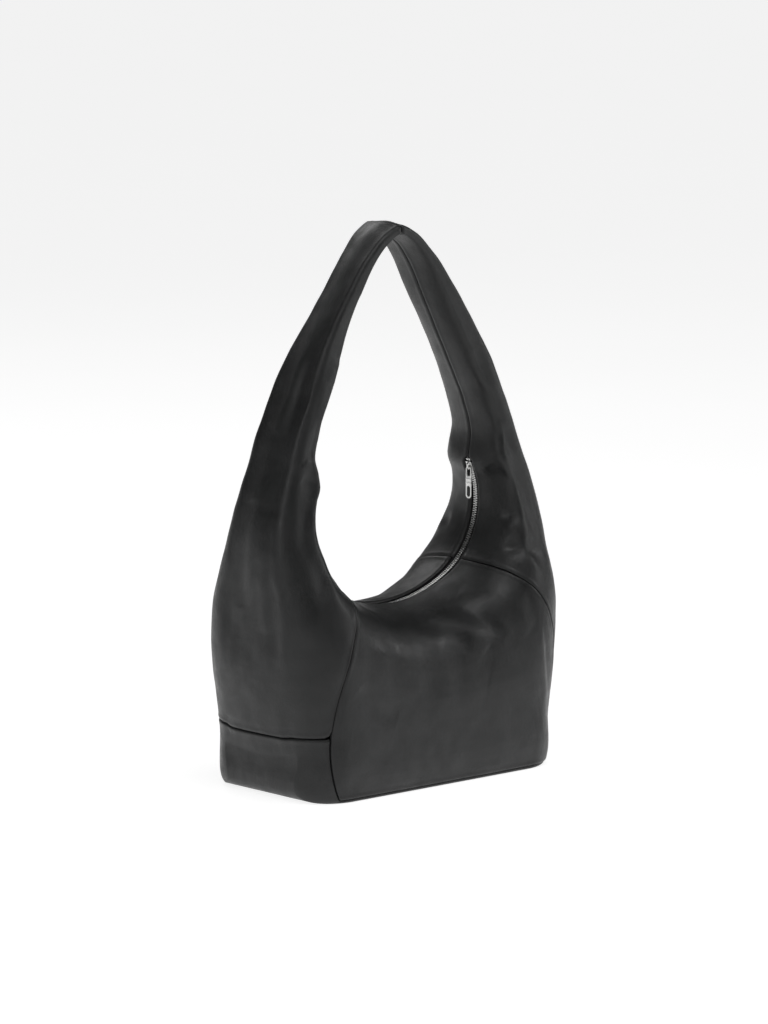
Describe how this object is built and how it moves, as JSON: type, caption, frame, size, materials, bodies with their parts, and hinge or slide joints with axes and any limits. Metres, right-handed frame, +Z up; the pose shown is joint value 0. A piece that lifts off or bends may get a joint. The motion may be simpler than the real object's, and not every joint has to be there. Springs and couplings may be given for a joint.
{
  "type": "hobo bag",
  "caption": "Slouchy leather shoulder bag whose side panels run up into one wide strap, with a curved metal zip across its mouth and a flat base to stand on.",
  "frame": {"origin": "on the ground under the middle of the base", "axes": "+X along the bag's long side towards the closed end of the zip, +Y towards the back, +Z up through the strap's apex"},
  "size_m": [0.3818, 0.1866, 0.582],
  "materials": {
    "leather": "fine-grained soft black nappa with a low sheen",
    "lining": "plain woven black lining",
    "zip_tape": "ribbed black woven tape",
    "zip_teeth": "bright nickel",
    "zip_slider": "polished dark nickel",
    "board": "stiffener board",
    "strap_core": "soft felt padding"
  },
  "bodies": {
    "bag": {"front_panel": "leather", "back_panel": "leather", "right_side_panel": "leather", "left_side_panel": "leather", "base_panel": "leather", "base_board": "board", "lining_front": "lining", "lining_back": "lining", "lining_right": "lining", "lining_left": "lining", "lining_base": "lining", "zip_tape_front": "zip_tape", "zip_tape_back": "zip_tape", "zip_teeth_front": "zip_teeth", "zip_teeth_back": "zip_teeth", "zip_top_stops": "zip_teeth", "zip_bottom_stop": "zip_teeth", "right_strap_foot": "strap_core", "left_strap_foot": "strap_core"},
    "strap": {"right_strap_half": "leather", "left_strap_half": "leather", "strap_core": "strap_core"},
    "zip_slider": {"zip_slider": "zip_slider", "zip_slider_bridge": "zip_slider"},
    "zip_pull": {"zip_pull": "zip_slider"}
  },
  "joints": [
    {"name": "zip_travel", "type": "hinge", "parent": "bag", "child": "zip_slider", "pos_m": [0.041, 0, 0.278], "axis": [0, 1, 0], "range_deg": [0, 80]},
    {"name": "pull_swing", "type": "hinge", "parent": "zip_slider", "child": "zip_pull", "pos_m": [0.11858, 0, 0.31173], "axis": [0, 1, 0], "range_deg": [-6, 130]},
    {"name": "strap_fold", "type": "hinge", "parent": "bag", "child": "strap", "pos_m": [0, 0, 0.4], "axis": [1, 0, 0], "range_deg": [-90, 90]}
  ]
}
